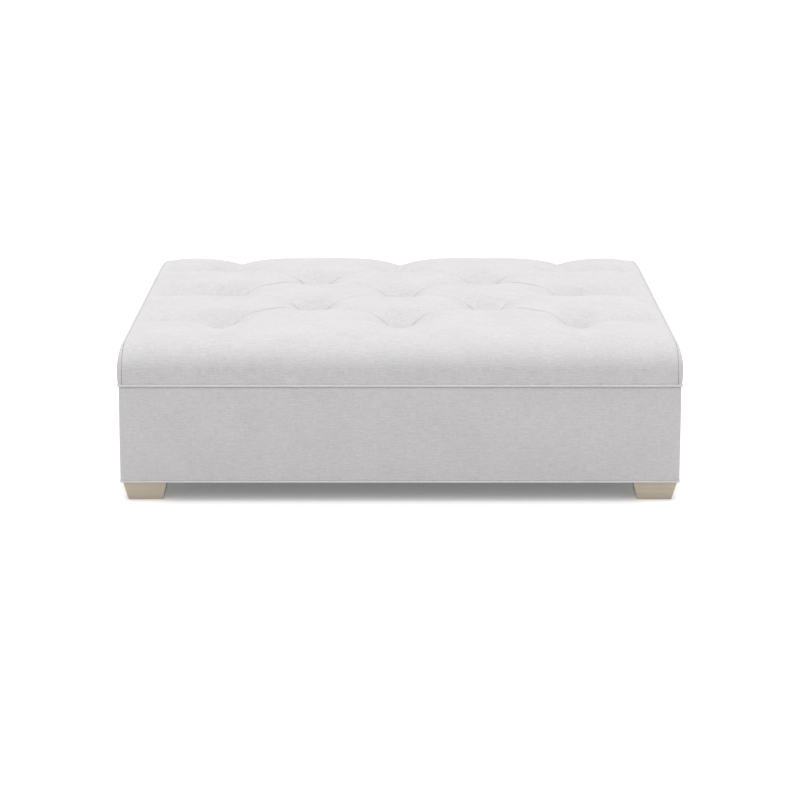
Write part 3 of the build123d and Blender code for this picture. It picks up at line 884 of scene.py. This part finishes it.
def looseness(x, y, pleat, from_seam, depth):
    """How freely the cover can move, from 0 at the tufts, pleats, seams and ends of the falls to 1."""
    distance, _, _ = nearest_tuft(x, y)
    loose = np.clip((distance - SEAT_RADIUS) / SIM_FADE, 0, 1) * np.clip(1 - pleat / SIM_PLEAT, 0, 1)
    loose = np.pad(loose, ((WALL_ROWS, WALL_ROWS), (0, 0)), mode="edge")
    fall = np.clip((HALF - np.abs(depth)) / SIM_FALL, 0, 1)
    return loose * (np.clip(from_seam / SIM_FADE, 0, 1) * fall * fall * (3 - 2 * fall))


def tufted_cover():
    """The cushion's cover and its filling down to the foam, as one closed piece."""
    depths = cushion_rows()
    x = np.array([cushion_columns(y) for y in depths])
    y = np.repeat(depths[:, None], x.shape[1], axis=1)
    height, pleat = cushion_height(x, y)
    outer = with_walls(stacked(x, y, height))
    along = np.gradient(outer, axis=0)
    normal = stacked(0, -along[..., 2], along[..., 1])
    normal /= np.linalg.norm(normal, axis=-1, keepdims=True)
    from_seam = SEAM - seam_pull(outer[..., 1]) - np.abs(outer[..., 0])
    loose = looseness(x, y, pleat, from_seam, outer[..., 1])
    outer = settled(outer - SIM_START * loose[..., None] * normal, 1 - loose)
    lip = np.clip(1 - from_seam / GROOVE_LIP, 0, 1)
    outer = outer - (GROOVE_DEPTH * (1 - quarter(1 - lip)))[..., None] * normal
    inner = outer.copy()
    limit = FOAM_HALF + FOAM_GAP
    inner[..., :2] = np.clip(inner[..., :2], -limit, limit)
    inner[..., 2] = np.minimum(outer[..., 2] - LEAST_FILLING, FOAM_HIGH + FOAM_GAP)
    middle = outer[:, outer.shape[1] // 2].copy()
    on_crown = np.abs(middle[:, 1]) < HALF - NEARLY_NONE
    middle[:, 2] = np.where(on_crown, crown_height(middle[:, 1]), middle[:, 2])
    cloth = stacked(outer[..., 0], run_lengths(middle)[:, None])
    return closed_piece("tufted_cover", outer, inner, cloth, linen_paint)


cover = tufted_cover()
stand_in(cover, "tufted_top", "lid")


# Boxed side borders

def border(name, sign):
    """A side border that swells between its seams."""
    ends = np.concatenate([BORDER_STEPS, BORDER_END * crowded_start(BORDER_END_ROWS)[1:]])
    middle = np.linspace(-HALF + BORDER_END, HALF - BORDER_END, BORDER_ROWS)[1:-1]
    y = np.concatenate([-HALF + ends, middle, (HALF - ends)[::-1]])
    up = np.concatenate([crowded(BORDER_COLUMNS)[:-1], 1 - np.array(BORDER_STEPS[::-1]) / BORDER_HEIGHT])
    low = PANEL_LOW - SEAM_TUCK
    gap = np.minimum(HALF + y, HALF - y)
    end_swell = quarter(gap / BORDER_END_ROUND)
    rounded = 4 * up * (1 - up)
    least, rest = BORDER_LOW_SHARES
    swell = np.where(up < 0.5, least + rest * rounded ** 0.5, rounded ** BORDER_TOP_POWER)
    share = end_swell[:, None] * swell[None, :]
    z = low + (side_top(y)[:, None] - low) * up[None, :]
    yy = np.repeat(y[:, None], len(up), axis=1)
    near_end = np.clip((BORDER_END_FROM - gap) / BORDER_END_FADE, 0, 1)[:, None]
    out = (BORDER_SWELL + BORDER_END_SWELL * near_end) * share
    out = out * (1 + BORDER_UNEVENNESS * ripples(yy, z, *BORDER_WAVES[sign]))
    pull = seam_pull(yy) * (up ** SEAM_PULL_POWER)[None, :]
    x = sign * (PANEL_IN - pull + out)
    sunk_end = GROOVE_DEPTH * (1 - end_swell[:, None]) ** LIP_POWER * -np.sign(yy)
    sunk_top = np.where(up > 0.5, GROOVE_DEPTH * (1 - swell) ** LIP_POWER, 0)
    outer = stacked(x, yy + sunk_end, z - sunk_top)
    inner = outer.copy()
    inner[..., 0] = sign * (PANEL_IN - pull - BORDER_BACK_GAP)
    cloth = stacked(yy, z)
    if sign < 0:
        outer, inner, cloth = outer[::-1], inner[::-1], cloth[::-1]
    return closed_piece(name, outer, inner, cloth, linen_paint)


for side, sign in (("left", -1), ("right", 1)):
    piece = border(f"side_border_{side}", sign)
    stand_in(piece, f"lid_side_panel_{side}", "lid")


# Piping

def cord(height, radius, tall, proud, widen):
    """Points and flat places of a cord round the box, ring by ring."""
    half = HALF + proud - radius
    spots, outward = ring_outline(half, CORD_CORNER, CORD_STEP)
    steps = run_lengths(spots)
    ring = np.arange(CORD_SIDES) / CORD_SIDES * math.tau
    swell = 1 + CORD_UNEVENNESS * ripples(steps, steps * 0, *CORD_WAVES)
    out = radius * swell[:, None] * np.cos(ring)[None, :]
    rise = tall * swell[:, None] * np.sin(ring)[None, :]
    flat = spots[:, None, :] + outward[:, None, :] * out[..., None]
    points = stacked(flat[..., 0] * (1 + widen / half), flat[..., 1], height + rise)
    return points, stacked(steps[:, None], (ring * radius)[None, :])


def tape(low, high):
    """Points and flat places of the sewing tape that is turned in under the edge."""
    outer, inner = TAPE_INSET, TAPE_WIDTH + TAPE_INSET
    low, high = low + TAPE_LOW_GAP, high - TAPE_HIGH_GAP
    points = rings([(outer, low), (inner, low), (inner, high), (outer, high)], HALF, CORD_CORNER)
    x, y = points[..., 0], points[..., 1]
    return points, stacked(x + y, x - y)


def piping(name, node, body, tape_low, tape_high, cord_rise, radius, tall, proud, widen):
    """Bias-cut cloth over a cord, with its sewing tape."""
    parts = []
    for points, cloth in (cord(tape_low + cord_rise, radius, tall, proud, widen), tape(tape_low, tape_high)):
        faces = grid_faces(*points.shape[:2], True, True)
        parts.append((points.reshape(-1, 3), faces, cloth.reshape(-1, 2)))
    points, faces, cloth = joined(parts)
    # The piping wears the lighter linen, a painted highlight.
    stand_in(make_mesh(name, points, faces, welt_paint_painted_highlight, cloth), node, body)


piping("lid_piping", "lid_welt", "lid", LID_LOW, DECK_LOW, *LID_CORD)
piping("base_piping", "base_welt", "base", DUST_LOW, DUST_HIGH, *BASE_CORD)


# The box's cover and padding

def cover_profile(low, high):
    """The cover's section: in from its hem under the box, up the face, over the rim and down inside."""
    bend = high - RIM_RADIUS
    face = bend - low - FACE_START
    flat = RIM_WIDTH - 2 * RIM_RADIUS
    turn_in = bend - LINING_HIGH
    profile = [(TURN_UNDER * (1 - k / TURN_ROWS), low) for k in range(TURN_ROWS)]
    profile += [(LOW_BEND_INSET, low + LOW_BEND_RISE)]
    profile += [(0.0, low + rise) for rise in FACE_LOW_STEPS]
    profile += [(0.0, low + FACE_START + face * k / FACE_ROWS) for k in range(FACE_ROWS + 1)]
    profile += [(RIM_RADIUS - x, bend + z) for x, z in arc(RIM_RADIUS, RIM_ARC_START, 90)]
    profile += [(RIM_RADIUS + flat * k / RIM_ROWS, high) for k in range(1, RIM_ROWS + 1)]
    profile += [(RIM_WIDTH - RIM_RADIUS + x, bend + z) for x, z in arc(RIM_RADIUS, 90 - RIM_ARC_START, 0)]
    profile += [(RIM_WIDTH, bend - turn_in * k / RIM_ROWS) for k in range(1, RIM_ROWS + 1)]
    return profile


def box_cover():
    """Linen stretched round the box, turned under it and over its rim."""
    low, high = COVER_LOW + SHEET_RISE, RIM
    profile = cover_profile(low, high)
    grid = rings(profile, HALF, CORNER)
    cloth = ring_cloth(profile, grid)
    height = grid[..., 2]
    inset = np.array([inset for inset, _ in profile])[:, None]
    _, outward = ring_outline(HALF, CORNER)
    share = np.clip((height - low) / (high - low), 0, 1)
    swell = FACE_SWELL - FACE_TOP_LOSS * share ** 3 + FACE_BULGE * (4 * share * (1 - share)) ** 0.5
    swell = swell + FACE_UNEVENNESS * ripples(cloth[..., 0], height, *FACE_WAVES)
    grid[..., :2] += (swell * (inset == 0.0))[..., None] * outward[None]
    lift = np.clip(1 - inset / RIM_BEAD_WIDTH, 0, 1) * np.clip((height - high) / RIM_RADIUS + 1, 0, 1)
    grid[..., 2] += RIM_BEAD * lift * np.clip((HALF - RIM_BEAD_END - grid[..., 1]) / RIM_BEAD_END, 0, 1)
    return thicken(ring_piece("box_cover", grid, linen_paint, cloth), SKIN)


base_cover = box_cover()
stand_in(base_cover, "base_cover", "base")


def box_padding():
    """Wadding between the box and its cover."""
    low, high = PADDING_LOW + PADDING_GAP, PADDING_HIGH - PADDING_GAP
    outer, inner = CLOTH_THICKNESS + PADDING_CLEARANCE, HALF - BOX_HALF - PADDING_GAP
    profile = [(outer, low + (high - low) * k / PADDING_ROWS) for k in range(PADDING_ROWS + 1)]
    profile += [(inner, high - (high - low) * k / PADDING_ROWS) for k in range(PADDING_ROWS + 1)]
    return ring_piece("box_padding", rings(profile, HALF, CORNER), wadding_material, closed=True)


padding = box_padding()
stand_in(padding, "base_padding", "base")


# Flat cloths, the foam and the lining

def flat_grid(half, count):
    """Places of a square grid round the middle."""
    spots = np.linspace(-half, half, count)
    return np.meshgrid(spots, spots)


def flat_cloth(name, half, height, material):
    """A tightly stretched square of cloth."""
    x, y = flat_grid(half, SHEET_POINTS)
    points = stacked(x, y, height).reshape(-1, 3)
    faces = grid_faces(SHEET_POINTS, SHEET_POINTS, flip=True)
    return thicken(make_mesh(name, points, faces, material, points[:, :2]), SHEET_THICKNESS)


dust_sheet = flat_cloth("dust_sheet", DUST_HALF - DUST_MARGIN, DUST_LOW + SHEET_RISE, black_paint)
stand_in(dust_sheet, "dust_cover", "base")

lid_sheet = flat_cloth("lid_sheet", LID_CLOTH_HALF, LID_LOW + SHEET_RISE, lining_paint)
stand_in(lid_sheet, "lid_underside_cloth", "lid")


def foam_slab():
    """The foam under the cushion, dimpled where the twines pull."""
    x, y = flat_grid(FOAM_HALF - FOAM_GAP, FOAM_POINTS)
    distance, _, _ = nearest_tuft(x, y)
    height = FOAM_HIGH - FOAM_GAP - DIMPLE_DEPTH * np.exp(-(distance / DIMPLE_RADIUS) ** 2)
    bottom = stacked(x, y, FOAM_LOW + FOAM_UNDER_GAP)
    return closed_piece("foam_slab", stacked(x, y, height), bottom, stacked(x, y), foam_material)


foam = foam_slab()
stand_in(foam, "lid_foam", "lid")


def lining():
    """Cloth over the inside of the box: its floor and four walls."""
    low = FLOOR_CLOTH_LOW + CLOTH_THICKNESS
    drop = LINING_HIGH - low - LINING_BEND
    profile = [(RIM_WIDTH, LINING_HIGH - drop * k / LINING_WALL_ROWS) for k in range(LINING_WALL_ROWS + 1)]
    for a in np.linspace(LINING_BEND_START, math.pi / 2, LINING_BEND_POINTS):
        profile.append((RIM_WIDTH + LINING_BEND * (1 - math.cos(a)), low + LINING_BEND * (1 - math.sin(a))))
    reach = HALF - RIM_WIDTH - LINING_BEND
    for k in range(1, LINING_FLOOR_ROWS + 1):
        profile.append((RIM_WIDTH + LINING_BEND + reach * k / LINING_FLOOR_ROWS, low))
    grid = rings(profile, HALF, CORNER)
    x, y, z = grid[..., 0], grid[..., 1], grid[..., 2]
    on_floor = np.clip((HALF - RIM_WIDTH - np.maximum(np.abs(x), np.abs(y))) / LINING_FLOOR_FADE, 0, 1)
    grid[..., 2] = z + LINING_UNEVENNESS * on_floor * (1 + ripples(x, y, *LINING_WAVES))
    cloth = ring_cloth(profile, grid)
    floor_row = np.array([height <= low + NEARLY_NONE for _, height in profile])
    cloth[floor_row] = grid[floor_row][..., :2]
    return thicken(ring_piece("box_lining", grid, lining_paint, cloth), SKIN)


box_lining = lining()
stand_in(box_lining, "storage_lining", "base")


# Buttons and twines

def at_tufts(name, points, faces, cloth, material):
    """One piece made of thirteen copies, one at each tuft."""
    copies = [(points + np.array([x, y, 0]), faces, cloth + np.array([x, y])) for x, y in tuft_places()]
    points, faces, cloth = joined(copies)
    return make_mesh(name, points, faces, material, cloth)


def buttons():
    """Linen pulled over a domed shell, gathered under its edge."""
    rows = []
    for k in range(BUTTON_RINGS + 1):
        tilt = k / BUTTON_RINGS * math.pi / 2
        dome = (BUTTON_HIGH - BUTTON_LOW - BUTTON_SKIRT) * math.cos(tilt)
        rows.append((BUTTON_RADIUS * math.sin(tilt) + BUTTON_POLE, BUTTON_LOW + BUTTON_SKIRT + dome))
    rows += [(BUTTON_RADIUS * share, BUTTON_LOW + rise) for share, rise in BUTTON_UNDERSIDE_SHARES]
    rows += [(BUTTON_POLE, BUTTON_LOW)]
    angle = np.arange(BUTTON_TURNS) / BUTTON_TURNS * math.tau
    points = []
    for k, (reach, level) in enumerate(rows):
        gather = 1 + BUTTON_GATHER * np.cos(BUTTON_GATHERS * angle) * min(k / BUTTON_RINGS, 1) ** 3
        points.append(stacked(reach * gather * np.cos(angle), reach * gather * np.sin(angle), level))
    flat = np.concatenate(points)
    faces = grid_faces(len(rows), BUTTON_TURNS, False, True, flip=True)
    piece = at_tufts("covered_buttons", flat, faces, flat[:, :2], linen_paint)
    stand_in(piece, "tuft_buttons", "lid")


def twines():
    """Two strands twisted together, from the washer up to the button."""
    height = np.linspace(TWINE_LOW, BUTTON_LOW, TWINE_ROWS)
    ring = np.arange(TWINE_SIDES) / TWINE_SIDES * math.tau
    faces = grid_faces(TWINE_ROWS, TWINE_SIDES, False, True)
    strands = []
    for phase in (0, math.pi):
        turn = height / TWINE_LAY * math.tau + phase
        x = TWINE_STRAND * np.cos(turn)[:, None] + TWINE_STRAND * np.cos(ring)[None]
        y = TWINE_STRAND * np.sin(turn)[:, None] + TWINE_STRAND * np.sin(ring)[None]
        flat = stacked(x, y, height[:, None]).reshape(-1, 3)
        strands.append((flat, faces, flat[:, [0, 2]]))
    piece = at_tufts("twisted_twines", *joined(strands), twine_paint)
    stand_in(piece, "tuft_twines", "lid")


buttons()
twines()


# Rigid pieces keep their shape and get their finish

finishes = {
    "plywood": wood("plywood", (0.56, 0.41, 0.25), (0.44, 0.30, 0.17), 18, 240, 0.6),
    "pine": wood("pine", (0.62, 0.44, 0.24), (0.47, 0.30, 0.14), 40, 260, 0.6),
    "washed_oak": wood("washed_oak", (0.66, 0.585, 0.475), (0.53, 0.46, 0.365), 130, 620, 0.62, gloss=0.25),
    "zinc_steel": metal("zinc_steel", (0.62, 0.63, 0.65), 0.35, 900),
    "hinge_steel": metal("hinge_steel", (0.58, 0.58, 0.57), 0.38, 300, along=(0.1, 1, 1)),
    "black_steel": metal("black_steel", (0.025, 0.025, 0.028), 0.42, 500, metallic=0.0, Coat_Weight=0.3),
    "rod_chrome": metal("rod_chrome", (0.72, 0.73, 0.75), 0.14, 700, along=(1, 0.1, 1)),
}
for subpart in frame["record"]["subparts"]:
    finish = finishes.get(subpart["material_slot"])
    if finish is not None:
        node = frame["nodes"][subpart["node"]]
        node.data.materials.clear()
        node.data.materials.append(finish)


# Camera, light and floor

camera = bpy.data.objects.new("camera", bpy.data.cameras.new("camera"))
bpy.context.scene.collection.objects.link(camera)
camera.location = CAMERA_PLACE
camera.rotation_euler = (math.radians(90 - CAMERA_TILT), 0, 0)
camera.data.lens = LENS
camera.data.sensor_width = SENSOR
camera.data.clip_end = SIGHT
bpy.context.scene.camera = camera


def seen_directly(tree):
    """1 for rays that show the background: straight from the camera, in gloss or through glass."""
    path = new_node(tree, "ShaderNodeLightPath")
    total = path.outputs["Is Camera Ray"]
    for other in ("Is Glossy Ray", "Is Transmission Ray"):
        either = new_node(tree, "ShaderNodeMath", operation="MAXIMUM")
        tree.links.new(total, either.inputs[0])
        tree.links.new(path.outputs[other], either.inputs[1])
        total = either.outputs[0]
    return total


def sky():
    """Even white light all round, and plain white behind the object."""
    world = bpy.data.worlds.new("sky")
    bpy.context.scene.world = world
    world.use_nodes = True
    tree = world.node_tree
    background = tree.nodes["Background"]
    background.inputs["Color"].default_value = (1, 1, 1, 1)
    strength = new_node(tree, "ShaderNodeMapRange")
    strength.inputs["To Min"].default_value = SKY
    strength.inputs["To Max"].default_value = 1.0
    tree.links.new(seen_directly(tree), strength.inputs["Value"])
    tree.links.new(strength.outputs["Result"], background.inputs["Strength"])


def sun(name, tilt, strength, spread):
    """A broad lamp overhead that shines down and a little towards the front."""
    light = bpy.data.lights.new(name, "SUN")
    light.energy = strength
    light.angle = math.radians(spread)
    lamp = bpy.data.objects.new(name, light)
    lamp.rotation_euler = (math.radians(tilt), 0, 0)
    bpy.context.scene.collection.objects.link(lamp)


def floor():
    """A white floor that keeps the object's shadow."""
    corners = [(FLOOR_REACH * x, FLOOR_REACH * y, 0) for x, y in ((-1, -1), (1, -1), (1, 1), (-1, 1))]
    material = bpy.data.materials.new("floor")
    material.use_nodes = True
    tree = material.node_tree
    tree.nodes.remove(tree.nodes["Principled BSDF"])
    seen = seen_directly(tree)
    colour = new_node(tree, "ShaderNodeMix", data_type="RGBA")
    colour.inputs[MIX_FIRST].default_value = (FLOOR_GREY, FLOOR_GREY, FLOOR_GREY, 1)
    colour.inputs[MIX_SECOND].default_value = (1, 1, 1, 1)
    diffuse = new_node(tree, "ShaderNodeBsdfDiffuse")
    tree.links.new(seen, colour.inputs[0])
    tree.links.new(colour.outputs[MIX_RESULT], diffuse.inputs["Color"])
    lift = new_node(tree, "ShaderNodeMath", operation="MULTIPLY")
    lift.inputs[1].default_value = FLOOR_LIFT
    glow = new_node(tree, "ShaderNodeEmission")
    glow.inputs["Color"].default_value = (1, 1, 1, 1)
    tree.links.new(seen, lift.inputs[0])
    tree.links.new(lift.outputs[0], glow.inputs["Strength"])
    both = new_node(tree, "ShaderNodeAddShader")
    tree.links.new(diffuse.outputs[0], both.inputs[0])
    tree.links.new(glow.outputs[0], both.inputs[1])
    tree.links.new(both.outputs[0], tree.nodes["Material Output"].inputs["Surface"])
    make_mesh("floor", corners, [(0, 1, 2, 3)], material)


sky()
sun("overhead", SUN_TILT, SUN, SUN_SPREAD)
floor()
bpy.context.scene.view_settings.view_transform = "Standard"
